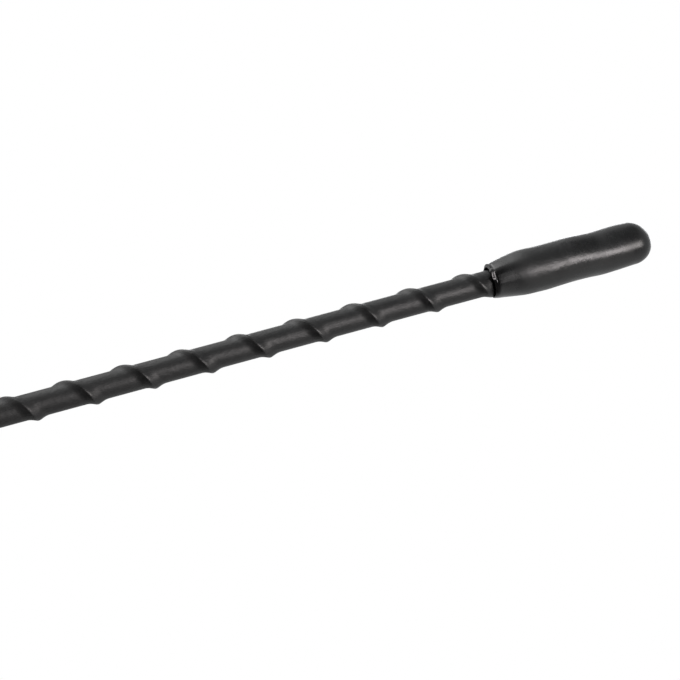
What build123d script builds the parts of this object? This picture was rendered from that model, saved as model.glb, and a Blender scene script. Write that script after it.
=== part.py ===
"""Short whip aerial for a car: a glass-fibre rod in a spirally ridged sleeve, with tip cap, boot and stud.

The mast stands upright on its seat: Z runs along the rod to the tip, and the origin is the centre of the
ferrule's seat face, where the screw stud begins. All sizes are in millimetres.
"""

import os

from build123d import *

# Overall: from the seat face to the end of the tip cap
mast_height = 220.0

# Copper conductor in the middle of the rod
wire_d = 1.0
wire_foot = 3.0
wire_setback = 5.0

# Glass-fibre rod
core_d = 3.5

# Sleeve and its helical ridge
sleeve_wall = 0.48
sleeve_setback = 0.6
ridge_pitch = 11.14
ridge_height = 0.535
ridge_foot = 3.1
ridge_crest = 0.3
ridge_into_cap = 6.0
ridge_into_boot = 6.0

# Tip cap
cap_length = 33.85
cap_bore_depth = 23.0
cap_mouth_wall = 0.35
cap_shoulder_d = 8.35
cap_shoulder_from_mouth = 6.9
cap_shoulder_round = 30.0
cap_dome_d = 8.1
cap_lip_chamfer = 0.15

# Boot at the foot
boot_above_barrel = 22.0
boot_skirt_d = 10.0
boot_skirt_height = 7.0
boot_neck_wall = 1.0
boot_top_chamfer = 0.5
boot_foot_chamfer = 0.3

# Turned ferrule
flange_d = 9.0
flange_height = 2.0
flange_chamfer = 0.3
barrel_wall = 1.3
barrel_height = 18.0
socket_depth = 14.0
stud_d = 5.0
stud_length = 10.0
stud_chamfer = 0.7

# Clearances between the pieces, each on the radius
wire_clearance = 0.03
sleeve_clearance = 0.02
socket_clearance = 0.03
cap_clearance = 0.08
boot_clearance = 0.05

# Levels along the mast
barrel_top_z = flange_height + barrel_height
socket_floor_z = barrel_top_z - socket_depth
boot_top_z = barrel_top_z + boot_above_barrel
cap_mouth_z = mast_height - cap_length
core_top_z = cap_mouth_z + cap_bore_depth
sleeve_top_z = core_top_z - sleeve_setback
ridge_bottom_z = boot_top_z - ridge_into_boot
ridge_top_z = cap_mouth_z + ridge_into_cap
wire_bottom_z = socket_floor_z - wire_foot
wire_top_z = core_top_z - wire_setback

# Radii from the axis outwards
wire_r = wire_d / 2
wire_bore_r = wire_r + wire_clearance
core_r = core_d / 2
socket_r = core_r + socket_clearance
sleeve_bore_r = core_r + sleeve_clearance
sleeve_r = sleeve_bore_r + sleeve_wall
crest_r = sleeve_r + ridge_height
cap_bore_r = crest_r + cap_clearance
cap_mouth_r = cap_bore_r + cap_mouth_wall
cap_dome_r = cap_dome_d / 2
barrel_r = socket_r + barrel_wall
boot_barrel_bore_r = barrel_r + boot_clearance
boot_neck_bore_r = crest_r + boot_clearance
boot_neck_r = boot_neck_bore_r + boot_neck_wall
boot_skirt_r = boot_skirt_d / 2


def crest_angle(z):
    """Angle of the ridge's crest at the level z, in degrees round the mast: 0, on +X, at the cap's mouth."""
    return 360 * (z - cap_mouth_z) / ridge_pitch


os.makedirs("parts", exist_ok=True)

# Copper conductor, from the contact hole in the ferrule to near the tip
with BuildPart() as radiator_wire:
    with BuildSketch(Plane.XY.offset(wire_bottom_z)):
        Circle(wire_r)
    extrude(amount=wire_top_z - wire_bottom_z)

# Glass-fibre rod, from the floor of the ferrule's socket to the end of the cap's bore
with BuildPart() as core_rod:
    with BuildSketch(Plane.XY.offset(socket_floor_z)):
        Circle(core_r)
        Circle(wire_bore_r, mode=Mode.SUBTRACT)
    extrude(amount=core_top_z - socket_floor_z)

# Helical ridge: a tent-shaped section whose flanks run on into the sleeve's wall
ridge_root = sleeve_wall / 2
flank_run = (ridge_foot - ridge_crest) / 2 / ridge_height
root_half = ridge_foot / 2 + ridge_root * flank_run
with BuildPart() as ridge:
    with BuildLine():
        crest_helix = Helix(
            ridge_pitch,
            ridge_top_z - ridge_bottom_z,
            sleeve_r,
            center=(0, 0, ridge_bottom_z),
        )
    with BuildSketch(Plane.XZ):
        with BuildLine():
            Polyline(
                (sleeve_r - ridge_root, ridge_bottom_z - root_half),
                (crest_r, ridge_bottom_z - ridge_crest / 2),
                (crest_r, ridge_bottom_z + ridge_crest / 2),
                (sleeve_r - ridge_root, ridge_bottom_z + root_half),
                close=True,
            )
        make_face()
    sweep(path=crest_helix.edge(), is_frenet=True)

# Sleeve: a plain tube from the ferrule to just short of the rod's end, with the ridge on it
with BuildPart() as spiral_sleeve:
    with BuildSketch(Plane.XY.offset(barrel_top_z)):
        Circle(sleeve_r)
        Circle(sleeve_bore_r, mode=Mode.SUBTRACT)
    extrude(amount=sleeve_top_z - barrel_top_z)
    add(ridge.part, rotation=(0, 0, crest_angle(ridge_bottom_z)))

# Tip cap: a flared mouth and a soft shoulder, a slight taper and a round end, over a blind bore
cap_dome_z = mast_height - cap_dome_r
with BuildPart() as tip_cap:
    with BuildSketch(Plane.XZ):
        with BuildLine():
            Line((0, cap_mouth_z), (cap_mouth_r, cap_mouth_z))
            FilletPolyline(
                (cap_mouth_r, cap_mouth_z),
                (cap_shoulder_d / 2, cap_mouth_z + cap_shoulder_from_mouth),
                (cap_dome_r, cap_dome_z),
                radius=cap_shoulder_round,
            )
            CenterArc((0, cap_dome_z), cap_dome_r, 0, 90)
            Line((0, mast_height), (0, cap_mouth_z))
        make_face()
    revolve(axis=Axis.Z)
    with BuildSketch(Plane.XY.offset(cap_mouth_z)):
        Circle(cap_bore_r)
    extrude(amount=cap_bore_depth, mode=Mode.SUBTRACT)
    mouth_face = tip_cap.faces().sort_by(Axis.Z)[0]
    chamfer(mouth_face.outer_wire().edges(), length=cap_lip_chamfer)

# Boot: a grip skirt and a taper to a slim neck, moulded round the ferrule's barrel and the sleeve
with BuildPart() as base_boot:
    with BuildSketch(Plane.XZ):
        with BuildLine():
            Polyline(
                (0, flange_height),
                (boot_skirt_r, flange_height),
                (boot_skirt_r, flange_height + boot_skirt_height),
                (boot_neck_r, boot_top_z),
                (0, boot_top_z),
                close=True,
            )
        make_face()
    revolve(axis=Axis.Z)
    boot_faces = base_boot.faces().sort_by(Axis.Z)
    foot_edge = boot_faces[0].outer_wire().edges()
    top_edge = boot_faces[-1].outer_wire().edges()
    chamfer(foot_edge, length=boot_foot_chamfer)
    chamfer(top_edge, length=boot_top_chamfer)
    with BuildSketch(Plane.XY.offset(flange_height)):
        Circle(boot_neck_bore_r)
    extrude(amount=boot_top_z - flange_height, mode=Mode.SUBTRACT)
    with BuildSketch(Plane.XY.offset(flange_height)):
        Circle(boot_barrel_bore_r)
    extrude(amount=barrel_height, mode=Mode.SUBTRACT)

# Ferrule: stud, seat flange and barrel in one turned piece, with a socket for the rod and the wire's foot
with BuildPart() as base_ferrule:
    with BuildSketch(Plane.XY.offset(-stud_length)):
        Circle(stud_d / 2)
    extrude(amount=stud_length)
    chamfer(base_ferrule.edges().sort_by(Axis.Z)[0], length=stud_chamfer)
    with BuildSketch():
        Circle(flange_d / 2)
    extrude(amount=flange_height)
    flange_rim = base_ferrule.edges().filter_by(GeomType.CIRCLE).sort_by(SortBy.RADIUS)[-2:]
    chamfer(flange_rim, length=flange_chamfer)
    with BuildSketch(Plane.XY.offset(flange_height)):
        Circle(barrel_r)
    extrude(amount=barrel_height)
    with Locations((0, 0, barrel_top_z)):
        CounterBoreHole(
            radius=wire_bore_r,
            counter_bore_radius=socket_r,
            counter_bore_depth=socket_depth,
            depth=socket_depth + wire_foot,
        )

pieces = {
    "tip_cap": tip_cap,
    "spiral_sleeve": spiral_sleeve,
    "core_rod": core_rod,
    "radiator_wire": radiator_wire,
    "base_boot": base_boot,
    "base_ferrule": base_ferrule,
}
for name, piece in pieces.items():
    piece.part.label = name
    export_step(piece.part, f"parts/{name}.step")
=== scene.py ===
"""Short whip aerial for a car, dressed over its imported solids.

The mast stands upright: Z runs along the rod to the tip and the origin is the centre of the seat face.
Sizes are written in millimetres and the meshes are in metres. Each visible solid is replaced by a finer
surface worked out on a grid of two parameters, and every piece gets a finish made of shader nodes.
"""

import logging
import math
from dataclasses import dataclass, field
from enum import Enum

import bmesh
import bpy
import numpy as np
from mathutils import Matrix, Vector


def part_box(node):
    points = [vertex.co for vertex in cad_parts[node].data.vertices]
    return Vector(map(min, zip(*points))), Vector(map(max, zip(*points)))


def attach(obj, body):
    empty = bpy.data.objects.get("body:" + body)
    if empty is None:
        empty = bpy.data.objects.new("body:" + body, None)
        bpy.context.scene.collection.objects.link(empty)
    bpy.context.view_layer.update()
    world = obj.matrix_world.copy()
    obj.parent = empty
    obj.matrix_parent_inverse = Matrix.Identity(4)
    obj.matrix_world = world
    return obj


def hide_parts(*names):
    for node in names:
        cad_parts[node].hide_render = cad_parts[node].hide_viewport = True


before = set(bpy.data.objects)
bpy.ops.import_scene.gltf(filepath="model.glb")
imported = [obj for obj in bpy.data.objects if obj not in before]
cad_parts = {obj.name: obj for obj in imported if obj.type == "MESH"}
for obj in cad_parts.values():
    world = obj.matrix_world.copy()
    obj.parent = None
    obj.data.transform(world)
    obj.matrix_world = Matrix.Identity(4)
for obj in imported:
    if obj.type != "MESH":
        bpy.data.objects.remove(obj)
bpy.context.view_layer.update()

Array = np.ndarray
Pair = tuple[float, float]
Triple = tuple[float, float, float]
Colour = Triple
Curve = tuple[Pair, ...]
Socket = bpy.types.NodeSocket

MM = 0.001
TURN = 2.0 * math.pi
WELD = 0.0002
NOISE_RANGE = (0.3, 0.7)
LOG = logging.getLogger("whip_aerial")


class Node(Enum):
    """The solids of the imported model."""

    CAP = "tip_cap"
    SLEEVE = "spiral_sleeve"
    CORE = "core_rod"
    WIRE = "radiator_wire"
    BOOT = "base_boot"
    FERRULE = "base_ferrule"

    def span(self) -> Pair:
        """Lowest and highest level of the solid, in millimetres."""
        low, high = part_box(self.value)
        return low.z / MM, high.z / MM


class Slot(Enum):
    """The record's material slots."""

    CAP = "cap_moulding"
    SLEEVE = "sleeve_skin"
    BOOT = "boot_rubber"
    FERRULE = "turned_brass"


def ease(low: float, high: float, value: Array) -> Array:
    """Smooth step from 0 at low to 1 at high.

    Args:
        low: value at which the step begins.
        high: value at which it ends, which may be below low for a falling step.
        value: where the step is read.

    Returns:
        The cubic 3t² - 2t³ of the held fraction t of the way from low to high.
    """
    part = np.clip((value - low) / (high - low), 0.0, 1.0)
    return part * part * (3.0 - 2.0 * part)


def quarter_round(share: Array) -> Array:
    """Quarter circle from 0 to 1: the root of 1 - (1 - t)², where t is the share held between 0 and 1."""
    return np.sqrt(1.0 - (1.0 - np.clip(share, 0.0, 1.0)) ** 2)


def front_angle(angles: Array) -> Array:
    """Degrees round the mast from the front, which is -Y, towards +X."""
    return np.degrees(np.mod(angles + 1.5 * math.pi, TURN) - math.pi)


def smooth_curve(points: Curve | Array, where: Array) -> Array:
    """Smooth curve through points: cubic pieces, with the mean slope of both sides at each point.

    Args:
        points: rows of (place, value), in order of place.
        where: places at which the curve is read.

    Returns:
        The curve's values.
    """
    x, y = np.array(points).T
    slope = np.gradient(y, x)
    left = np.clip(np.searchsorted(x, where, side="right") - 1, 0, len(x) - 2)
    gap = x[left + 1] - x[left]
    t = (where - x[left]) / gap
    start = (1.0 + 2.0 * t) * (1.0 - t) ** 2 * y[left] + t * (1.0 - t) ** 2 * gap * slope[left]
    end = t * t * (3.0 - 2.0 * t) * y[left + 1] + t * t * (t - 1.0) * gap * slope[left + 1]
    return start + end


def arc(centre: Pair, radius: float, start: float, end: float, count: int) -> Array:
    """Points on a circular arc of a turned profile.

    Args:
        centre: radius and level of the arc's centre.
        radius: the arc's own radius.
        start: first angle in degrees, 0 pointing away from the axis and 90 up the mast.
        end: last angle in degrees.
        count: number of points.

    Returns:
        Rows of (radius, level).
    """
    angle = np.radians(np.linspace(start, end, count))
    return np.column_stack((centre[0] + radius * np.cos(angle), centre[1] + radius * np.sin(angle)))


def run(*corners: Pair, step: float = 1.0) -> Array:
    """Straight runs of a turned profile, divided evenly.

    Args:
        corners: (radius, level) of each corner in order.
        step: longest piece of a run.

    Returns:
        Rows of (radius, level), the corners among them.
    """
    legs = [np.array(corners[:1], float)]
    for a, b in zip(corners, corners[1:]):
        pieces = max(1, math.ceil(math.dist(a, b) / step))
        legs.append(np.linspace(a, b, pieces + 1)[1:])
    return np.vstack(legs)


def stand(name: str, data: bpy.types.ID) -> bpy.types.Object:
    """Puts a mesh, lamp or camera into the scene.

    Args:
        name: the object's name.
        data: what the object shows.

    Returns:
        The new object, at the origin.
    """
    thing = bpy.data.objects.new(name, data)
    bpy.context.scene.collection.objects.link(thing)
    return thing


@dataclass(frozen=True)
class RidgeWander:
    """The ridge's small wander from an even helix, as it was laid on the rod.

    At a level z and angle a the crest moves along the mast by even(z) - lifted(z) sin a + tipped(z) cos a:
    an even shift, more lift on the -Y side, and more on the +X side. Each is a smooth curve through about
    one value a turn, and a row holds the level and the three values.
    """

    turns: tuple[tuple[float, float, float, float], ...] = (
        (70.0, 0.0, 0.0, 0.0),
        (94.3, 0.20, 0.49, -0.11),
        (105.4, 0.18, 0.53, -0.07),
        (116.5, 0.02, 0.56, -0.07),
        (127.7, -0.17, 0.40, -0.04),
        (138.8, -0.20, 0.29, -0.06),
        (149.9, -0.06, 0.30, -0.115),
        (161.1, 0.04, 0.28, -0.21),
        (172.2, 0.18, 0.28, -0.275),
        (183.4, 0.16, 0.18, -0.28),
        (193.0, 0.16, 0.16, -0.28),
    )

    def rise(self, levels: Array, angles: Array) -> Array:
        """Shift along the mast in millimetres.

        Args:
            levels: level of each point by row and column.
            angles: angle of each column.

        Returns:
            The shift by row and column.
        """
        rows = np.array(self.turns)
        where = np.clip(levels, rows[0, 0], rows[-1, 0])
        even, lifted, tipped = (smooth_curve(rows[:, [0, column]], where) for column in (1, 2, 3))
        return even - lifted * np.sin(angles) + tipped * np.cos(angles)


@dataclass(frozen=True)
class HelicalBand:
    """A right-handed helical form on a round bar.

    The crest faces the angle a at the level crest + pitch (a / 2π + k). A point d above the nearest crest
    has the radius root + height (1 - (√(d² + soft²) - soft) / reach)², with its own reach below and above
    the crest. Well away from the band's two ends the crest stands a little more proud, and the pairs are
    the distances from its low and high ends where that begins and is full.
    """

    root: float
    height: float
    pitch: float
    crest: float
    low: float
    high: float
    reach_below: float
    reach_above: float
    soft: float
    fade: float
    offsets: Array
    proud: float = 0.0
    proud_from_low: Pair = (9.0, 15.0)
    proud_from_high: Pair = (9.0, 20.0)
    wander: RidgeWander | None = None
    held_length: float = 1.0
    spare_turns: int = 3

    def inside(self, length: float, levels: Array) -> Array:
        """Smooth steps over a length from 0 at each end of the band to 1 between them."""
        return ease(self.low, self.low + length, levels) * ease(self.high, self.high - length, levels)

    def drift(self, levels: Array, angles: Array) -> Array:
        """How far the band's points wander along the mast, nothing at its two ends.

        Args:
            levels: level of each point by row and column.
            angles: angle of each column.

        Returns:
            The shift by row and column.
        """
        if self.wander is None:
            return np.zeros_like(levels)
        return self.inside(self.held_length, levels) * self.wander.rise(levels, angles)

    def levels(self, angles: Array) -> Array:
        """Levels of the band's rows: the crest's level on each column plus one set of offsets a turn.

        Args:
            angles: angle of each column.

        Returns:
            Levels by row and column, held between the band's two ends.
        """
        first = math.floor((self.low - self.crest) / self.pitch) - self.spare_turns
        last = math.ceil((self.high - self.crest) / self.pitch) + self.spare_turns
        turns = np.arange(first, last) * self.pitch
        rows = (turns[:, None] + self.offsets[None, :]).ravel()
        rise = self.pitch * angles / TURN
        return np.clip(self.crest + rows[:, None] + rise[None, :], self.low, self.high)

    def surface(self, levels: Array, angles: Array) -> tuple[Array, Array]:
        """Radius of each point, and how near it is to the crest.

        Args:
            levels: level of each point by row and column.
            angles: angle of each column.

        Returns:
            The radii, and marks that are 1 on the crest and 0 away from it.
        """
        turn = (levels - self.crest) / self.pitch - angles[None, :] / TURN
        off = (turn - np.round(turn)) * self.pitch
        reach = np.where(off < 0.0, self.reach_below, self.reach_above)
        fall = (np.sqrt(off**2 + self.soft**2) - self.soft) / reach
        tent = np.clip(1.0 - fall, 0.0, 1.0) ** 2 * self.inside(self.fade, levels)
        above, below = levels - self.low, self.high - levels
        clear = ease(*self.proud_from_low, above) * ease(*self.proud_from_high, below)
        return self.root + (self.height + self.proud * clear) * tent, tent


@dataclass
class Rings:
    """Rings of points round the mast, stacked into a surface.

    A point in row i and column j stands at the angle a = 2π j / columns, at (x + r cos a, r sin a, z) with
    its own lean x, radius r and level z. Rows of a helical band are sheared, so their last column runs on
    into the first column of the row one turn up.
    """

    columns: int
    radii: list[Array] = field(default_factory=list)
    levels: list[Array] = field(default_factory=list)
    shifts: list[Array] = field(default_factory=list)
    marks: list[Array] = field(default_factory=list)

    @property
    def angles(self) -> Array:
        """Angle of each column in radians from +X."""
        return TURN * np.arange(self.columns) / self.columns

    def rows(self) -> int:
        """Number of rows so far."""
        return sum(len(block) for block in self.levels)

    def turned(self, profile: Array, swell: float | Array = 0.0, rise: float | Array = 0.0) -> None:
        """Adds plain rings: the profile carried round the axis, plus a swell and a rise.

        Args:
            profile: rows of (radius, level).
            swell: added radius, by row and column where it varies.
            rise: added level, by row and column where it varies.
        """
        flat = np.zeros((len(profile), self.columns))
        self.shifts.append(self.rows() + np.arange(len(profile)))
        self.radii.append(profile[:, :1] + flat + swell)
        self.levels.append(profile[:, 1:] + flat + rise)
        self.marks.append(flat)

    def helical(self, band: HelicalBand) -> None:
        """Adds a helical band, whose rows lie along the helix and are held flat at the band's two ends.

        Args:
            band: the band's pitch, ends and profile.
        """
        levels = band.levels(self.angles)
        radii, marks = band.surface(levels, self.angles)
        count = len(levels)
        self.shifts.append(self.rows() + np.minimum(np.arange(count) + len(band.offsets), count - 1))
        self.radii.append(radii)
        self.levels.append(levels + band.drift(levels, self.angles))
        self.marks.append(marks)

    def piece(
        self, name: str, crease: float, lean: float | Array = 0.0, loop: bool = False
    ) -> bpy.types.Object:
        """Makes the mesh object, with coincident points merged so that poles and seams are closed.

        Args:
            name: the piece's name.
            crease: angle in degrees past which an edge stays sharp.
            lean: sideways shift along +X in millimetres, by row or by row and column where it varies.
            loop: True where the last row joins the first, as on a tube with a wall.

        Returns:
            The new object, at the origin, linked to the scene.
        """
        radii, levels, marks = (np.vstack(part) for part in (self.radii, self.levels, self.marks))
        x = lean + radii * np.cos(self.angles)
        y = radii * np.sin(self.angles)
        points = np.stack((x, y, levels), axis=-1).reshape(-1, 3) * MM

        index = np.arange(levels.size).reshape(levels.shape)
        ahead = np.column_stack((index[:, 1:], index[np.concatenate(self.shifts), 0]))
        if loop:
            index, ahead = np.vstack((index, index[:1])), np.vstack((ahead, ahead[:1]))
        quads = np.stack((index[:-1], ahead[:-1], ahead[1:], index[1:]), axis=-1).reshape(-1, 4)

        mesh = bpy.data.meshes.new(name)
        mesh.from_pydata(points.tolist(), [], quads.tolist())
        mark = mesh.attributes.new("mark", "FLOAT", "POINT")
        mark.data.foreach_set("value", marks.ravel().astype(np.float32))
        close_seams(mesh)
        mesh.polygons.foreach_set("use_smooth", np.ones(len(mesh.polygons), bool))
        mesh.set_sharp_from_angle(angle=math.radians(crease))
        return stand(name, mesh)


def close_seams(mesh: bpy.types.Mesh) -> None:
    """Merges coincident points and turns every face outwards.

    Args:
        mesh: the mesh to close, changed in place.
    """
    shell = bmesh.new()
    shell.from_mesh(mesh)
    bmesh.ops.remove_doubles(shell, verts=shell.verts, dist=WELD * MM)
    bmesh.ops.recalc_face_normals(shell, faces=shell.faces)
    shell.to_mesh(mesh)
    shell.free()
    mesh.validate()


@dataclass(frozen=True)
class Grain:
    """A noise pattern.

    Its blotches are about size millimetres across, and stretch times longer along each axis. Detail is the
    octaves of finer noise on them, depth their relief in millimetres, and gloss what they add to the
    roughness where they are dark and where they are light.
    """

    size: float
    detail: float = 3.0
    stretch: Triple = (1.0, 1.0, 1.0)
    depth: float = 0.0
    gloss: Pair = (0.0, 0.0)


class NodeDesk:
    """Short calls for the nodes of one shader tree."""

    def __init__(self, tree: bpy.types.NodeTree, coordinates: str) -> None:
        """Starts on a tree.

        Args:
            tree: the tree of a material or of the world.
            coordinates: name of the coordinates that the patterns read.
        """
        self.tree = tree
        self.place = self.node("ShaderNodeTexCoord").outputs[coordinates]

    def node(self, kind: str, **inputs: object) -> bpy.types.Node:
        """Adds a node and fills its inputs.

        Args:
            kind: Blender's name of the node type.
            inputs: value or socket for each input, by name with spaces written as underscores.

        Returns:
            The node.
        """
        node = self.tree.nodes.new(kind)
        for name, value in inputs.items():
            self.plug(node.inputs[name.replace("_", " ")], value)
        return node

    def plug(self, socket: Socket, value: object) -> None:
        """Links a socket to an input, or sets the input to a value.

        Args:
            socket: the input.
            value: the socket or the value that it takes.
        """
        if isinstance(value, bpy.types.NodeSocket):
            self.tree.links.new(value, socket)
        else:
            socket.default_value = value

    def maths(self, operation: str, *values: object) -> Socket:
        """Joins values two by two with a maths operation.

        Args:
            operation: Blender's name of the operation.
            values: sockets or numbers.

        Returns:
            The result.
        """
        total = values[0]
        for value in values[1:]:
            step = self.node("ShaderNodeMath")
            step.operation = operation
            self.plug(step.inputs[0], total)
            self.plug(step.inputs[1], value)
            total = step.outputs[0]
        return total

    def measure(self, operation: str, *vectors: object) -> Socket:
        """One number from vectors, such as a length.

        Args:
            operation: Blender's name of the vector operation.
            vectors: sockets or values.

        Returns:
            The number.
        """
        node = self.node("ShaderNodeVectorMath")
        node.operation = operation
        for socket, vector in zip(node.inputs, vectors):
            self.plug(socket, vector)
        return node.outputs["Value"]

    def span(self, value: Socket, ends: Pair, source: Pair = NOISE_RANGE, smooth: bool = False) -> Socket:
        """Runs between two ends while a value goes through a range, and is held outside it.

        Args:
            value: the value.
            ends: what it becomes at the start and at the end of the range.
            source: the range.
            smooth: True to ease in and out.

        Returns:
            The stretched value.
        """
        ranged = self.node("ShaderNodeMapRange", Value=value)
        if smooth:
            ranged.interpolation_type = "SMOOTHSTEP"
        for name, number in zip(("From Min", "From Max", "To Min", "To Max"), (*source, *ends)):
            ranged.inputs[name].default_value = number
        return ranged.outputs[0]

    def blend(self, share: Socket, first: bpy.types.Node, second: bpy.types.Node) -> Socket:
        """Mixes two shaders.

        Args:
            share: how much of the second shader shows.
            first: node of the first shader.
            second: node of the second shader.

        Returns:
            The mixed shader.
        """
        mix = self.node("ShaderNodeMixShader")
        for socket, value in zip(mix.inputs, (share, first.outputs[0], second.outputs[0])):
            self.plug(socket, value)
        return mix.outputs[0]


class FinishDesk(NodeDesk):
    """A new material, with short calls for what the finishes share."""

    def __init__(self, name: str) -> None:
        """Starts the material.

        Args:
            name: the material's name.
        """
        self.material = bpy.data.materials.new(name)
        self.material.use_nodes = True
        super().__init__(self.material.node_tree, "Object")
        self.shader = self.tree.nodes["Principled BSDF"]

    def grain(self, grain: Grain) -> Socket:
        """Noise of a grain.

        Args:
            grain: the pattern's size, detail and stretch.

        Returns:
            The noise value, about 0.5 on average.
        """
        scale = tuple(1.0 / (grain.size * MM * s) for s in grain.stretch)
        spread = self.node("ShaderNodeMapping", Vector=self.place, Scale=scale)
        noise = self.node("ShaderNodeTexNoise", Vector=spread.outputs[0], Scale=1.0, Detail=grain.detail)
        return noise.outputs[0]

    def along(self, ends: Pair, levels: Pair) -> Socket:
        """Runs between two ends while the point goes from one level of the mast to another."""
        height = self.node("ShaderNodeSeparateXYZ", Vector=self.place).outputs["Z"]
        return self.span(height, ends, (levels[0] * MM, levels[1] * MM))

    def tint(self, amount: Socket, dark: Colour, light: Colour) -> Socket:
        """Colour that runs from dark to light.

        Args:
            amount: 0 for dark to 1 for light.
            dark: the first colour.
            light: the second colour.

        Returns:
            The colour.
        """
        mix = self.node("ShaderNodeMix")
        mix.data_type = "RGBA"
        factor, first, second = (mix.inputs[i] for i in (0, 6, 7))
        self.plug(factor, amount)
        first.default_value = (*dark, 1.0)
        second.default_value = (*light, 1.0)
        return mix.outputs[2]

    def mark(self) -> Socket:
        """The mark kept with each point of the mesh.

        Returns:
            1 on a ridge's crest and 0 away from it.
        """
        read = self.node("ShaderNodeAttribute")
        read.attribute_name = "mark"
        return read.outputs["Fac"]

    def bump(self, height: Socket, depth: float, under: Socket | None = None) -> Socket:
        """Relief from a height.

        Args:
            height: value from 0 to 1.
            depth: rise in millimetres from 0 to 1.
            under: normal of a coarser relief below it, or None.

        Returns:
            The bumped normal.
        """
        relief = self.node("ShaderNodeBump", Height=height, Distance=depth * MM, Strength=1.0)
        if under is not None:
            self.plug(relief.inputs["Normal"], under)
        return relief.outputs[0]

    def finish(
        self, colour: Socket, roughness: Socket, normal: Socket, **fixed: float
    ) -> bpy.types.Material:
        """Joins the sockets to the shader.

        Args:
            colour: base colour.
            roughness: roughness.
            normal: bumped normal.
            fixed: values of the shader's own sockets, the same all over.

        Returns:
            The material.
        """
        self.plug(self.shader.inputs["Base Color"], colour)
        self.plug(self.shader.inputs["Roughness"], roughness)
        self.plug(self.shader.inputs["Normal"], normal)
        for name, value in fixed.items():
            self.shader.inputs[name.replace("_", " ")].default_value = value
        return self.material


@dataclass(frozen=True)
class CapMoulding:
    """Satin black moulding, a little uneven, with faint grain in its gloss.

    A gloss is the roughness of one part of the cap, and a pair of levels is where one part runs into the
    next. A scuff is a pair of levels and how strong the dimples are at each.
    """

    dark: Colour = (0.0065, 0.0065, 0.0067)
    light: Colour = (0.0100, 0.0098, 0.0097)
    mouth_gloss: float = 0.17
    shoulder_gloss: float = 0.40
    waist_gloss: float = 0.335
    tip_gloss: float = 0.275
    flare_levels: Pair = (187.0, 192.5)
    shoulder_levels: Pair = (193.0, 197.5)
    waist_levels: Pair = (197.5, 205.0)
    blotch: Grain = Grain(2.6, detail=2.0, gloss=(-0.05, 0.05))
    fine: Grain = Grain(0.16, depth=0.0012, gloss=(-0.02, 0.02))
    dimple: Grain = Grain(1.5, detail=1.5, stretch=(1.0, 1.0, 1.6), depth=0.085)
    pit: Grain = Grain(0.55, detail=1.0)
    pit_share: float = 0.14
    scuffs: tuple[tuple[Pair, Pair], ...] = (
        ((190.0, 196.0), (0.12, 1.0)),
        ((202.0, 208.0), (1.0, 0.38)),
        ((213.0, 217.0), (1.0, 0.2)),
    )
    specular: float = 0.60

    def make(self) -> bpy.types.Material:
        """Broad blotches in tone and gloss over soft dimples and fine grain.

        Returns:
            The material.
        """
        desk = FinishDesk("satin_cap_moulding")
        blotch, fine = desk.grain(self.blotch), desk.grain(self.fine)
        rough = desk.maths(
            "ADD",
            desk.along((self.mouth_gloss, self.shoulder_gloss), self.flare_levels),
            desk.along((0.0, self.waist_gloss - self.shoulder_gloss), self.shoulder_levels),
            desk.along((0.0, self.tip_gloss - self.waist_gloss), self.waist_levels),
            desk.span(blotch, self.blotch.gloss),
            desk.span(fine, self.fine.gloss),
        )
        pits = desk.span(desk.grain(self.pit), (0.0, self.pit_share))
        dimples = desk.maths("ADD", desk.grain(self.dimple), pits)
        scuffed = [desk.along(strength, levels) for levels, strength in self.scuffs]
        relief = desk.bump(desk.maths("MULTIPLY", dimples, *scuffed), self.dimple.depth)
        normal = desk.bump(fine, self.fine.depth, relief)
        colour = desk.tint(desk.span(blotch, (0.0, 1.0)), self.dark, self.light)
        return desk.finish(colour, rough, normal, Specular_IOR_Level=self.specular)


@dataclass(frozen=True)
class SleeveSkin:
    """Dull black sleeve drawn tight on the rod, smoother on the ridge's crest and duller near its foot."""

    dark: Colour = (0.0020, 0.0020, 0.0021)
    light: Colour = (0.0102, 0.0099, 0.0098)
    streak: Grain = Grain(1.1, stretch=(1.0, 1.0, 4.0), depth=0.045, gloss=(0.43, 0.50))
    streak_tone: Pair = (-0.1, 0.5)
    speck: Grain = Grain(0.5, detail=1.5, stretch=(1.0, 1.0, 2.0), depth=0.06)
    speck_tone: Pair = (-0.1, 0.7)
    fine: Grain = Grain(0.13, depth=0.0020, gloss=(-0.03, 0.03))
    crest_gloss: float = -0.10
    crest_marks: Pair = (0.75, 1.0)
    foot_gloss: float = 0.09
    foot_levels: Pair = (90.0, 140.0)
    specular: float = 0.63

    def make(self) -> bpy.types.Material:
        """Streaks along the rod, specks and fine grain.

        Returns:
            The material.
        """
        desk = FinishDesk("dull_spiral_sleeve")
        streak, speck, fine = (desk.grain(grain) for grain in (self.streak, self.speck, self.fine))
        rough = desk.maths(
            "ADD",
            desk.span(streak, self.streak.gloss),
            desk.span(fine, self.fine.gloss),
            desk.span(desk.mark(), (0.0, self.crest_gloss), self.crest_marks),
            desk.along((self.foot_gloss, 0.0), self.foot_levels),
        )
        relief = desk.bump(speck, self.speck.depth, desk.bump(streak, self.streak.depth))
        normal = desk.bump(fine, self.fine.depth, relief)
        tone = desk.maths("ADD", desk.span(streak, self.streak_tone), desk.span(speck, self.speck_tone))
        colour = desk.tint(tone, self.dark, self.light)
        return desk.finish(colour, rough, normal, Specular_IOR_Level=self.specular)


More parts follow.
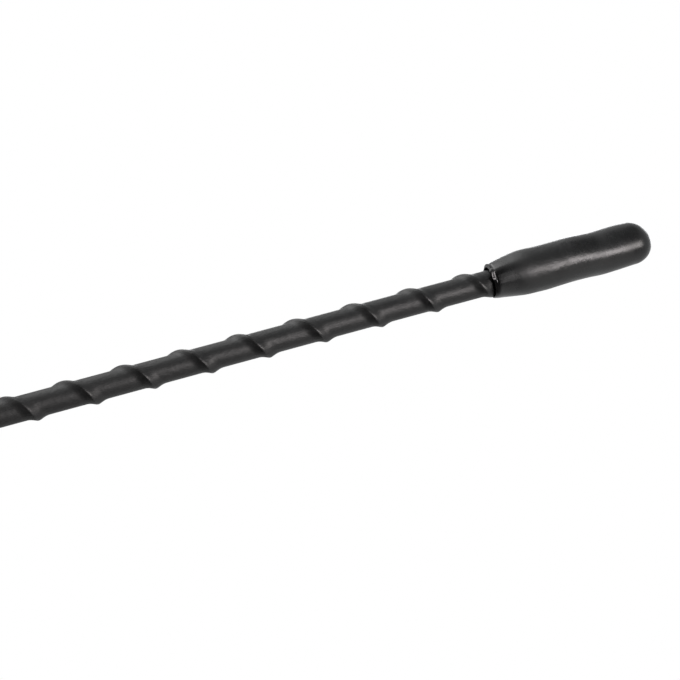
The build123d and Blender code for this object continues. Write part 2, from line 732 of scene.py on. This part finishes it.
@dataclass(frozen=True)
class PlainFinish:
    """A plain finish of one or two grains, coarse to fine.

    The first grain gives the tone, from base to patch. All of them add their gloss and their relief.
    """

    name: str
    base: Colour
    patch: Colour
    grains: tuple[Grain, ...]
    metallic: float = 0.0
    specular: float = 0.5

    def make(self) -> bpy.types.Material:
        """Makes the finish from its grains.

        Returns:
            The material.
        """
        desk = FinishDesk(self.name)
        noises = [(desk.grain(grain), grain) for grain in self.grains]
        rough = desk.maths("ADD", *(desk.span(noise, grain.gloss) for noise, grain in noises))
        normal = None
        for noise, grain in noises:
            if grain.depth > 0.0:
                normal = desk.bump(noise, grain.depth, normal)
        colour = desk.tint(desk.span(noises[0][0], (0.0, 1.0)), self.base, self.patch)
        return desk.finish(colour, rough, normal, Metallic=self.metallic, Specular_IOR_Level=self.specular)


@dataclass(frozen=True)
class BootRubber(PlainFinish):
    """Dull moulded rubber: handling marks over a faint pebbled skin."""

    name: str = "dull_boot_rubber"
    base: Colour = (0.0075, 0.0075, 0.0078)
    patch: Colour = (0.0130, 0.0128, 0.0126)
    grains: tuple[Grain, ...] = (
        Grain(4.0, depth=0.02, gloss=(0.50, 0.62)),
        Grain(0.22, detail=2.0, depth=0.0045, gloss=(-0.03, 0.03)),
    )
    specular: float = 0.4


@dataclass(frozen=True)
class TurnedBrass(PlainFinish):
    """Turned brass: blotches of tarnish, and tool rings, which are noise squeezed along the mast."""

    name: str = "turned_brass"
    base: Colour = (0.72, 0.54, 0.26)
    patch: Colour = (0.42, 0.29, 0.12)
    grains: tuple[Grain, ...] = (
        Grain(1.6, detail=4.0, gloss=(0.22, 0.36)),
        Grain(0.10, detail=2.0, stretch=(400.0, 400.0, 1.0), depth=0.0030, gloss=(-0.04, 0.04)),
    )
    metallic: float = 1.0


@dataclass(frozen=True)
class GlassFibre(PlainFinish):
    """Bare glass-fibre rod: strands in pale resin, which are noise drawn out along the mast."""

    name: str = "bare_glass_fibre"
    base: Colour = (0.50, 0.46, 0.33)
    patch: Colour = (0.68, 0.66, 0.56)
    grains: tuple[Grain, ...] = (Grain(0.16, stretch=(1.0, 1.0, 90.0), depth=0.006, gloss=(0.34, 0.48)),)


@dataclass(frozen=True)
class DrawnCopper(PlainFinish):
    """Drawn copper wire: a patchy brown film, and die lines along the wire."""

    name: str = "drawn_copper"
    base: Colour = (0.52, 0.21, 0.11)
    patch: Colour = (0.86, 0.43, 0.26)
    grains: tuple[Grain, ...] = (
        Grain(2.0, gloss=(0.22, 0.40)),
        Grain(0.08, detail=2.0, stretch=(1.0, 1.0, 200.0), depth=0.003, gloss=(-0.04, 0.04)),
    )
    metallic: float = 1.0


def fit(piece: bpy.types.Object, material: bpy.types.Material, node: Node) -> bpy.types.Object:
    """Dresses a new piece and lets it stand for its solid.

    Args:
        piece: the new piece.
        material: its finish.
        node: the solid that it replaces.

    Returns:
        The piece.
    """
    piece.data.materials.append(material)
    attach(piece, "root")
    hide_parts(node.value)
    return piece


@dataclass
class TipCap:
    """Tip cap: a lip, a flared mouth, a soft shoulder, a faint waist and a round end, over a blind bore.

    Heights are above the mouth. Angles are degrees from the front, which is -Y, towards +X. A pair of
    either is where a smooth step begins and ends. A curve is pairs of height and value: the radius of the
    side, the waver of its middle along X, and the oval of its section.
    """

    columns: int = 128
    side_rows: int = 150
    dome_rows: int = 40
    bore_r: float = 2.865
    bore_depth: float = 23.0
    bore_edge: float = 0.2
    lip_r: float = 3.05
    lip_wide: float = 3.41
    lip_full: float = 3.43
    lip_length: float = 0.5
    lip_start: float = 0.02
    lip_taper: float = 0.06
    lip_edge: float = 0.06
    lip_round: float = 0.4
    inner_round: float = 0.05
    back_round: float = 0.03
    groove_depth: float = 0.07
    groove_edges: Pair = (0.05, 0.17)
    thick_front: Pair = (7.0, -6.0)
    thick_back: Pair = (100.0, 150.0)
    soft_left: Pair = (-55.0, -75.0)
    worn_depth: float = 0.13
    worn_height: float = 1.15
    worn_front: Pair = (-4.0, 12.0)
    worn_back: Pair = (150.0, 110.0)
    gate_mark: float = 0.44
    gate_round: float = 0.25
    gate_face: Pair = (-40.0, -6.0)
    gate_facing: float = 1.0
    gate_end: Pair = (-46.0, -30.0)
    gate_drop: float = 0.42
    drop_left: Pair = (-56.0, -30.0)
    drop_right: Pair = (14.0, -20.0)
    drop_height: Pair = (0.55, 0.05)
    mouth_slant: float = 0.117
    mouth_tip: float = 0.012
    mouth_rise: float = 0.30908
    slant_fade: Pair = (4.5, 0.5)
    waver_start: Pair = (1.0, 2.0)
    side: Curve = (
        (0.8, 3.41), (2.8, 3.695), (4.3, 3.91), (5.6, 4.10), (6.6, 4.21), (7.6, 4.26), (9.2, 4.25),
        (11.5, 4.24), (13.8, 4.20), (17.3, 4.19), (20.9, 4.15), (24.6, 4.20), (27.4, 4.18), (29.8, 4.06),
    )
    wavers: Curve = (
        (0.0, -0.08), (1.3, -0.14), (5.0, -0.2), (8.0, -0.175), (11.2, -0.085), (14.0, -0.145),
        (16.9, -0.215), (19.6, -0.15), (22.4, 0.0), (25.3, -0.09), (28.3, -0.165), (31.0, -0.1),
        (33.85, 0.12),
    )
    ovals: Curve = (
        (0.0, 0.0), (4.5, 0.02), (8.0, 0.075), (13.0, 0.09), (18.0, 0.075),
        (21.5, 0.01), (25.0, -0.03), (28.5, -0.045), (30.0, 0.0), (33.85, 0.0),
    )
    finish: CapMoulding = CapMoulding()

    def lip(self, mouth: float) -> Array:
        """Bevelled lip: a small round inside, a bevel that widens up the mast and a groove behind it.

        Args:
            mouth: level of the mouth.

        Returns:
            Rows of (radius, level).
        """
        inner, back = self.inner_round, self.back_round
        wide, top = self.lip_wide, mouth + self.lip_length
        return np.vstack((
            arc((self.bore_r + inner, mouth + inner), inner, 180.0, 270.0, 8),
            run((self.lip_r, mouth + self.lip_start), (wide, top - back), step=0.05),
            arc((wide - back, top - back), back, 0.0, 70.0, 7)[1:],
            [(wide - self.groove_depth, top + edge) for edge in self.groove_edges],
        ))

    def outside(self, mouth: float, tip: float) -> Array:
        """Outside of the cap: the lip, a smooth curve through the side's radii, and a round dome.

        Args:
            mouth: level of the mouth.
            tip: level of the tip.

        Returns:
            Rows of (radius, level).
        """
        (low, _), (high, dome_r) = self.side[0], self.side[-1]
        height = np.linspace(low, high, self.side_rows)
        side = np.column_stack((smooth_curve(self.side, height), mouth + height))
        dome = arc((0.0, tip - dome_r), dome_r, 0.0, 90.0, self.dome_rows)[1:]
        return np.vstack((self.lip(mouth), side, dome))

    def uneven(self, radius: Array, height: Array, front: Array) -> Array:
        """Uneven lip: full at the back, worn with no groove on the +X side, and a raised gate mark between.

        Args:
            radius: radius of each row.
            height: height of each row above the mouth.
            front: angle of each column from the front.

        Returns:
            Added radius by row and column, nothing in the bore and above the worn lip.
        """
        on_lip = (radius >= self.lip_r) & (height < self.lip_length)
        square = (np.clip(height / self.lip_edge, 0.0, 1.0) * on_lip)[:, None]
        curved = (quarter_round(height / self.lip_round) * on_lip)[:, None]
        soft = ease(*self.soft_left, front)
        full = np.clip(self.lip_full - self.lip_taper * height - radius, 0.0, None)[:, None]
        full = full * (square * (1.0 - soft) + curved * soft)
        thick = np.maximum(ease(*self.thick_front, front), ease(*self.thick_back, front))
        right = ease(*self.worn_front, front) * ease(*self.worn_back, front)
        worn = self.worn(radius, height)[:, None] * right
        nub = (quarter_round(height / self.gate_round) * on_lip)[:, None]
        return full * thick + worn + nub * self.gate(front)

    def worn(self, radius: Array, height: Array) -> Array:
        """Worn lip: the side's line carried down to the mouth, less a depth that grows as (1 - h / reach)².

        Args:
            radius: radius of each row.
            height: height of each row above the mouth.

        Returns:
            Added radius by row, nothing in the bore and above the worn reach.
        """
        (low, narrow), (high, wide) = self.side[:2]
        line = narrow + (wide - narrow) / (high - low) * (height - low)
        line = np.where(height < low, line, radius)
        depth = self.worn_depth * np.clip(1.0 - height / self.worn_height, 0.0, 1.0) ** 2
        return (line - depth - radius) * (radius >= self.lip_r)

    def gate(self, front: Array) -> Array:
        """Gate mark on the lip: a flat face, which stands r (cos(n - g) / cos(f - g) - 1) proud of the lip.

        Here r is the full lip's radius, f the angle from the front, n the face's near end and g the way it
        faces.

        Args:
            front: angle of each column from the front.

        Returns:
            The mark's height by column, falling to nothing at both ends.
        """
        far, near = self.gate_face
        turned = np.radians(np.clip(front, far, near) - self.gate_facing)
        face = np.cos(np.radians(near - self.gate_facing)) / np.cos(turned) - 1.0
        return np.minimum(self.lip_full * face, self.gate_mark) * ease(*self.gate_end, front)

    def slant(self, radius: Array, height: Array, angles: Array) -> Array:
        """Slant of the mouth: a plane that rises to the back and a little to +X; the gate mark hangs lower.

        Args:
            radius: radius of each row.
            height: height of each row above the mouth.
            angles: angle of each column.

        Returns:
            Rise by row and column, fading out up the flare.
        """
        front = front_angle(angles)
        across = self.mouth_slant * np.sin(angles) + self.mouth_tip * np.cos(angles)
        plane = self.mouth_rise + radius[:, None] * across
        edge = (radius >= self.lip_r) * ease(*self.drop_height, height)
        drop = self.gate_drop * edge[:, None] * ease(*self.drop_left, front) * ease(*self.drop_right, front)
        return ease(*self.slant_fade, height)[:, None] * plane - drop

    def build(self) -> bpy.types.Object:
        """Builds and dresses the cap. Its outside wavers sideways along its length; its bore is straight.

        Returns:
            The cap.
        """
        mouth, tip = Node.CAP.span()
        floor = mouth + self.bore_depth
        bore = run((0.0, floor), (self.bore_r, floor), (self.bore_r, mouth + self.bore_edge))
        outside = self.outside(mouth, tip)
        radius, height = outside[:, 0], outside[:, 1] - mouth
        rings = Rings(self.columns)
        uneven = self.uneven(radius, height, front_angle(rings.angles))
        oval = smooth_curve(self.ovals, height)[:, None] * np.sin(2.0 * rings.angles)
        rings.turned(bore)
        rings.turned(outside, uneven + oval, self.slant(radius, height, rings.angles))
        free = np.maximum(ease(self.bore_r, self.lip_r, radius), ease(*self.waver_start, height))
        waver = np.concatenate((np.zeros(len(bore)), smooth_curve(self.wavers, height) * free))
        piece = rings.piece("tip_cap_moulding", crease=50.0, lean=waver[:, None])
        return fit(piece, self.finish.make(), Node.CAP)


@dataclass
class SpiralSleeve:
    """Black sleeve on the rod: a thin tube with one helical ridge from inside the boot to inside the cap.

    Between the levels of lean_start and the depths of lean_end below the cap it leans sideways a little.
    """

    columns: int = 96
    bore_r: float = 1.77
    outer_r: float = 2.335
    plain_step: float = 8.0
    ridge_height: float = 0.495
    ridge_proud: float = 0.045
    ridge_pitch: float = 11.14
    ridge_fade: float = 2.5
    reach_below: float = 1.7
    reach_above: float = 1.9
    crest_soft: float = 0.40
    flank_width: float = 2.5
    flank_rows: int = 17
    flank_crowding: float = 1.7
    plain_rows: int = 7
    into_cap: float = 6.0
    above_foot: float = 16.0
    lean: float = -0.03
    lean_start: Pair = (45.0, 65.0)
    lean_end: Pair = (3.0, 18.0)
    wander: RidgeWander = RidgeWander()
    finish: SleeveSkin = SleeveSkin()

    def offsets(self) -> Array:
        """One turn's rows, close together at the crest and wide apart on the plain tube.

        Returns:
            Distances of the rows from the crest along the mast.
        """
        flank = np.linspace(0.0, 1.0, self.flank_rows) ** self.flank_crowding * self.flank_width
        plain = np.linspace(self.flank_width, self.ridge_pitch / 2.0, self.plain_rows)[1:]
        above = np.concatenate((flank, plain))
        return np.concatenate((-above[:0:-1], above[:-1]))

    def build(self) -> bpy.types.Object:
        """Builds and dresses the sleeve.

        Returns:
            The sleeve.
        """
        foot, top = Node.SLEEVE.span()
        mouth = Node.CAP.span()[0]
        band = HelicalBand(
            root=self.outer_r,
            height=self.ridge_height,
            pitch=self.ridge_pitch,
            crest=mouth,
            low=foot + self.above_foot,
            high=mouth + self.into_cap,
            reach_below=self.reach_below,
            reach_above=self.reach_above,
            soft=self.crest_soft,
            fade=self.ridge_fade,
            offsets=self.offsets(),
            proud=self.ridge_proud,
            wander=self.wander,
        )
        inner, outer, step = self.bore_r, self.outer_r, self.plain_step
        wall = run((inner, top), (inner, foot), (outer, foot), (outer, band.low), step=step)
        rings = Rings(self.columns)
        rings.turned(wall)
        rings.helical(band)
        rings.turned(run((outer, band.high), (outer, top), step=step))
        levels = np.vstack(rings.levels)
        lean = self.lean * ease(*self.lean_start, levels) * ease(*self.lean_end, mouth - levels)
        lean[: len(wall)] = 0.0
        piece = rings.piece("spiral_sleeve_skin", crease=60.0, lean=lean, loop=True)
        return fit(piece, self.finish.make(), Node.SLEEVE)


@dataclass
class BaseBoot:
    """Boot at the foot: a fluted grip skirt and a taper to a slim neck, with rounded edges.

    The flutes fade in over the heights of flute_foot above the foot and of flute_top below the shoulder.
    """

    columns: int = 192
    skirt_r: float = 5.0
    skirt_height: float = 7.0
    skirt_foot: float = 0.5
    skirt_top: float = 0.6
    neck_r: float = 3.835
    neck_bore_r: float = 2.835
    barrel_bore_r: float = 3.13
    barrel_height: float = 18.0
    foot_round: float = 0.35
    top_round: float = 0.55
    bore_round: float = 0.2
    shoulder_round: float = 18.0
    shoulder_drop: float = 0.3
    taper_inset: float = 0.03
    taper_rise: float = 0.6
    flutes: int = 24
    flute_depth: float = 0.16
    flute_foot: Pair = (0.5, 1.3)
    flute_top: Pair = (0.4, 1.4)
    finish: BootRubber = BootRubber()

    def flute(self, profile: Array, foot: float, angles: Array) -> Array:
        """Shallow flutes round the skirt: a raised cosine, squared, that fades out at the skirt's two ends.

        Args:
            profile: rows of (radius, level).
            foot: level of the boot's foot.
            angles: angle of each column.

        Returns:
            Change of radius by row and column.
        """
        height = profile[:, 1] - foot
        shown = ease(*self.flute_foot, height) * ease(*self.flute_top, self.skirt_height - height)
        outside = profile[:, 0] > self.barrel_bore_r
        wave = (0.5 + 0.5 * np.cos(self.flutes * angles)) ** 2
        return -self.flute_depth * (shown * outside)[:, None] * wave[None, :]

    def profile(self, foot: float, top: float) -> Array:
        """The boot's section: down the bore, up the skirt and along the taper, back to the bore's edge.

        Args:
            foot: level of the boot's foot.
            top: level of the neck's top.

        Returns:
            Rows of (radius, level).
        """
        skirt, neck, bore = self.skirt_r, self.neck_r, self.neck_bore_r
        rim, crown, lip = self.foot_round, self.top_round, self.bore_round
        shoulder, barrel_top = foot + self.skirt_height, foot + self.barrel_height
        slope = math.degrees(math.atan2(skirt - neck, top - shoulder))
        taper_start = (skirt - self.taper_inset, shoulder + self.taper_rise)
        bend = (skirt - self.shoulder_round, shoulder - self.shoulder_drop)
        return np.vstack((
            run((bore, top - lip), (bore, barrel_top), (self.barrel_bore_r, barrel_top), step=4.0),
            run((self.barrel_bore_r, barrel_top), (self.barrel_bore_r, foot), step=4.0)[1:],
            arc((skirt - rim, foot + rim), rim, -90.0, 0.0, 8),
            run((skirt, foot + self.skirt_foot), (skirt, shoulder - self.skirt_top), step=0.15),
            arc(bend, self.shoulder_round, 0.0, slope, 8),
            run(taper_start, (neck, top - crown))[1:],
            arc((neck - crown, top - crown), crown, slope, 90.0, 10)[1:],
            arc((bore + lip, top - lip), lip, 90.0, 180.0, 6)[:-1],
        ))

    def build(self) -> bpy.types.Object:
        """Builds and dresses the boot.

        Returns:
            The boot.
        """
        foot, top = Node.BOOT.span()
        profile = self.profile(foot, top)
        rings = Rings(self.columns)
        rings.turned(profile, self.flute(profile, foot, rings.angles))
        piece = rings.piece("base_boot_moulding", crease=40.0, loop=True)
        return fit(piece, self.finish.make(), Node.BOOT)


@dataclass
class BaseFerrule:
    """Turned ferrule: a threaded stud, a seat flange and a barrel with a socket for the rod's foot."""

    columns: int = 72
    stud_r: float = 2.5
    point_r: float = 1.8
    point_chamfer: float = 0.3
    thread_depth: float = 0.46
    thread_pitch: float = 0.8
    thread_rows: int = 12
    thread_start: float = 0.5
    thread_fade: float = 0.5
    thread_reach: float = 0.76
    crest_soft: float = 0.03
    relief_length: float = 0.9
    seat_chamfer: float = 0.12
    flange_r: float = 4.5
    flange_height: float = 2.0
    flange_edge: float = 0.3
    barrel_r: float = 3.08
    socket_r: float = 1.78
    socket_depth: float = 14.0
    contact_r: float = 0.53
    contact_depth: float = 3.0
    finish: TurnedBrass = TurnedBrass()

    def thread(self, low: float, high: float) -> HelicalBand:
        """The stud's right-handed thread.

        Args:
            low: level at which it begins.
            high: level at which it ends.

        Returns:
            The helical band.
        """
        half = self.thread_pitch / 2.0
        return HelicalBand(
            root=self.stud_r - self.thread_depth,
            height=self.thread_depth,
            pitch=self.thread_pitch,
            crest=low,
            low=low,
            high=high,
            reach_below=self.thread_reach,
            reach_above=self.thread_reach,
            soft=self.crest_soft,
            fade=self.thread_fade,
            offsets=np.linspace(-half, half, self.thread_rows, endpoint=False),
        )

    def build(self) -> bpy.types.Object:
        """Builds and dresses the ferrule.

        Returns:
            The ferrule.
        """
        point, top = Node.FERRULE.span()
        band = self.thread(point + self.thread_start, -self.relief_length)
        root, seat = band.root, self.seat_chamfer
        flange, edge, height = self.flange_r, self.flange_edge, self.flange_height
        socket_floor = top - self.socket_depth
        contact_floor = socket_floor - self.contact_depth
        rings = Rings(self.columns)
        tapered = (root, point + self.point_chamfer)
        rings.turned(run((0.0, point), (self.point_r, point), tapered, (root, band.low), step=0.3))
        rings.helical(band)
        rings.turned(np.vstack((
            run((root, band.high), (root, -seat), (root + seat, 0.0), (flange - edge, 0.0), step=0.5),
            run((flange, edge), (flange, height - edge), (flange - edge, height), step=0.5),
            run((self.barrel_r, height), (self.barrel_r, top), (self.socket_r, top), step=3.0),
            run((self.socket_r, socket_floor), (self.contact_r, socket_floor), step=3.0),
            run((self.contact_r, contact_floor), (0.0, contact_floor), step=3.0),
        )))
        piece = rings.piece("base_ferrule_turned", crease=30.0)
        return fit(piece, self.finish.make(), Node.FERRULE)


@dataclass
class RodCore:
    """What the sleeve hides: the glass-fibre rod and the copper wire in it, kept as the solids they are."""

    rod: GlassFibre = GlassFibre()
    wire: DrawnCopper = DrawnCopper()

    def dress(self) -> list[bpy.types.Object]:
        """Gives both solids their finishes.

        Returns:
            The two solids.
        """
        pieces = []
        for node, finish in ((Node.CORE, self.rod), (Node.WIRE, self.wire)):
            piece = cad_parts[node.value]
            piece.data.materials.clear()
            piece.data.materials.append(finish.make())
            pieces.append(piece)
        return pieces


@dataclass(frozen=True)
class SoftBox:
    """Soft box that faces the upper half of the mast and that the camera doesn't see.

    It stands turn degrees round the mast from the camera's side towards +X, rise degrees above the horizon,
    with its +X end raised by roll degrees. Its size is its width and height, and a radiance of 1 is white.
    """

    name: str
    turn: float
    rise: float
    size: Pair
    radiance: float
    tint: Colour
    roll: float = 0.0
    distance: float = 800.0
    target: Triple = (0.0, 0.0, 160.0)

    def hang(self) -> None:
        """Hangs the box at its distance from the target, facing it."""
        turn, rise, roll = (math.radians(angle) for angle in (self.turn, self.rise, self.roll))
        away = Vector((math.sin(turn) * math.cos(rise), -math.cos(turn) * math.cos(rise), math.sin(rise)))
        level = Vector((0.0, 0.0, 1.0)).cross(away).normalized()
        side = math.cos(roll) * level + math.sin(roll) * away.cross(level)
        axes = Matrix((side, away.cross(side), away)).transposed()
        width, height = self.size[0] * MM, self.size[1] * MM
        data = bpy.data.lights.new(self.name, "AREA")
        data.shape = "RECTANGLE"
        data.size, data.size_y = width, height
        data.energy = self.radiance * math.pi * width * height
        data.color = self.tint
        lamp = stand(self.name, data)
        lamp.visible_camera = False
        place = Vector(self.target) * MM + away * (self.distance * MM)
        lamp.matrix_world = Matrix.Translation(place) @ axes.to_4x4()


@dataclass
class Studio:
    """White sweep, soft lamps and the camera.

    The sweep and the room are steps on the parts of a ray's direction, between -1 and 1. A pair is where a
    step begins and ends, and a room pair is an upward part and the light there.
    """

    lens: float = 144.746
    sensor: float = 36.0
    camera_place: Triple = (3.0655, -476.616, 0.175)
    camera_tilt: float = 18.0
    camera_roll: float = 15.231
    camera_clip: Pair = (10.0, 20000.0)
    floor_level: float = -10.0
    floor_r: float = 100.0
    floor_full_r: float = 35.0
    floor_rings: int = 17
    floor_columns: int = 64
    floor_tones: Pair = (0.84, 0.88)
    floor_grain: Grain = Grain(9.0)
    stand_r: float = 1.75
    back_sweep: Pair = (-0.1, 0.5)
    back_light: float = 0.45
    right_sweep: Pair = (0.45, 0.95)
    right_rise: Pair = (0.0, 0.22)
    right_light: float = 0.50
    left_way: Triple = (-0.85, 0.1, -0.45)
    left_sweep: Pair = (0.50, 0.8)
    left_fall: Pair = (0.26, 0.06)
    room_tint: Colour = (0.96, 0.98, 1.0)
    room: Curve = ((-1.0, 0.03), (0.10, 0.03), (0.205, 0.66), (0.33, 0.66), (0.42, 0.16), (1.0, 0.50))
    lamps: tuple[SoftBox, ...] = (
        SoftBox("key_box", 13.0, 24.3, (370.0, 110.0), 12.1, (1.0, 0.93, 0.94), 28.0),
        SoftBox("key_edge", 17.0, 40.0, (360.0, 300.0), 4.2, (1.0, 0.95, 0.92), 12.0),
        SoftBox("low_panel", 4.0, 15.4, (800.0, 180.0), 1.45, (1.0, 0.985, 0.985)),
        SoftBox("warm_panel", 55.0, 21.0, (600.0, 240.0), 0.18, (1.0, 0.90, 0.83)),
        SoftBox("side_panel", -97.0, -2.0, (800.0, 360.0), 2.2, (1.0, 1.0, 1.0)),
        SoftBox("back_box", 190.0, 35.0, (350.0, 600.0), 3.0, (0.97, 0.98, 1.0)),
    )

    def camera(self) -> None:
        """Camera on the -Y side and low down, looking up along the mast, with the tip to the right."""
        tilt, roll = math.radians(self.camera_tilt), math.radians(self.camera_roll)
        along = Vector((0.0, -math.sin(tilt), math.cos(tilt)))
        above = Vector((-1.0, 0.0, 0.0))
        right = math.cos(roll) * along - math.sin(roll) * above
        up = math.sin(roll) * along + math.cos(roll) * above
        turn = Matrix((right, up, right.cross(up))).transposed()
        data = bpy.data.cameras.new("portrait")
        data.lens, data.sensor_width = self.lens, self.sensor
        data.clip_start, data.clip_end = (distance * MM for distance in self.camera_clip)
        camera = stand("portrait", data)
        camera.matrix_world = Matrix.Translation(Vector(self.camera_place) * MM) @ turn.to_4x4()
        bpy.context.scene.camera = camera

    def sweep(self, desk: NodeDesk) -> Socket:
        """White sweep as mirrored rays see it: behind the mast, to its right, and low down to its left.

        Args:
            desk: the world's nodes.

        Returns:
            The share of white by direction.
        """
        x, y, z = desk.node("ShaderNodeSeparateXYZ", Vector=desk.place).outputs
        to_left = desk.measure("DOT_PRODUCT", desk.place, self.left_way)
        behind = desk.span(y, (0.0, self.back_light), self.back_sweep, smooth=True)
        right = desk.maths(
            "MULTIPLY",
            desk.span(x, (0.0, self.right_light), self.right_sweep, smooth=True),
            desk.span(z, (0.0, 1.0), self.right_rise, smooth=True),
        )
        left = desk.maths(
            "MULTIPLY",
            desk.span(to_left, (0.0, 1.0), self.left_sweep, smooth=True),
            desk.span(z, (0.0, 1.0), self.left_fall, smooth=True),
        )
        return desk.maths("MAXIMUM", behind, right, left)

    def room_light(self, desk: NodeDesk) -> bpy.types.Node:
        """Dim room with a lighter band above the horizon.

        Args:
            desk: the world's nodes.

        Returns:
            The node of the room's background.
        """
        up = desk.node("ShaderNodeSeparateXYZ", Vector=desk.place).outputs["Z"]
        ramp = desk.node("ShaderNodeValToRGB", Fac=desk.span(up, (0.0, 1.0), (-1.0, 1.0)))
        stops = ramp.color_ramp.elements
        ramp.color_ramp.interpolation = "EASE"
        while len(stops) < len(self.room):
            stops.new(1.0)
        for stop, (part, light) in zip(stops, self.room):
            stop.position, stop.color = (part + 1.0) / 2.0, (light, light, light, 1.0)
        return desk.node("ShaderNodeBackground", Color=(*self.room_tint, 1.0), Strength=ramp.outputs[0])

    def world(self) -> None:
        """White to the camera; the room, and the sweep in mirrored rays, for reflections and fill."""
        world = bpy.data.worlds.new("studio")
        world.use_nodes = True
        bpy.context.scene.world = world
        world.node_tree.nodes.clear()
        desk = NodeDesk(world.node_tree, "Generated")
        path = desk.node("ShaderNodeLightPath").outputs
        seen = desk.maths("MAXIMUM", path["Is Camera Ray"], path["Is Transmission Ray"])
        mirrored = desk.maths("MULTIPLY", path["Is Glossy Ray"], self.sweep(desk))
        white = desk.node("ShaderNodeBackground", Color=(1.0, 1.0, 1.0, 1.0), Strength=1.0)
        shown = desk.blend(desk.maths("MAXIMUM", seen, mirrored), self.room_light(desk), white)
        desk.node("ShaderNodeOutputWorld", Surface=shown)

    def floor(self) -> None:
        """Pale round floor that thins out into the sweep: a polar grid, open under the stud's end."""
        reach = np.linspace(self.stand_r, self.floor_r, self.floor_rings)[:, None]
        angle = TURN * np.arange(self.floor_columns) / self.floor_columns
        x, y = reach * np.cos(angle), reach * np.sin(angle)
        points = np.stack((x, y, np.full_like(x, self.floor_level)), axis=-1).reshape(-1, 3) * MM
        index = np.arange(x.size).reshape(x.shape)
        ahead = np.roll(index, -1, axis=1)
        quads = np.stack((index[:-1], index[1:], ahead[1:], ahead[:-1]), axis=-1).reshape(-1, 4)
        mesh = bpy.data.meshes.new("studio_floor")
        mesh.from_pydata(points.tolist(), [], quads.tolist())
        mesh.materials.append(self.floor_paint())
        floor = stand("studio_floor", mesh)

    def floor_paint(self) -> bpy.types.Material:
        """White matt paint that thins out to nothing towards the rim, and is clear from below.

        Returns:
            The material.
        """
        desk = FinishDesk("floor_paint")
        fading = (self.floor_full_r * MM, self.floor_r * MM)
        thin = desk.span(desk.measure("LENGTH", desk.place), (0.0, 1.0), fading)
        under = desk.node("ShaderNodeNewGeometry").outputs["Backfacing"]
        dark, light = ((tone, tone, tone) for tone in self.floor_tones)
        tone = desk.tint(desk.span(desk.grain(self.floor_grain), (0.0, 1.0)), dark, light)
        paint = desk.node("ShaderNodeBsdfDiffuse", Color=tone)
        clear = desk.node("ShaderNodeBsdfTransparent")
        shown = desk.blend(desk.maths("MAXIMUM", thin, under), paint, clear)
        desk.plug(desk.tree.nodes["Material Output"].inputs["Surface"], shown)
        desk.tree.nodes.remove(desk.shader)
        return desk.material

    def build(self) -> None:
        """Sets the camera, the sweep, the floor and the lamps."""
        bpy.context.scene.view_settings.view_transform = "Standard"
        self.camera()
        self.world()
        self.floor()
        for lamp in self.lamps:
            lamp.hang()


def main() -> None:
    """Builds the studio and the pieces in order."""
    logging.basicConfig(level=logging.INFO, format="%(name)s: %(message)s")
    Studio().build()
    pieces = [TipCap().build(), SpiralSleeve().build(), BaseBoot().build(), BaseFerrule().build()]
    pieces += RodCore().dress()
    for piece in pieces:
        piece.data.calc_loop_triangles()
        LOG.info("%s: %d triangles", piece.name, len(piece.data.loop_triangles))


if __name__ == "__main__":
    main()
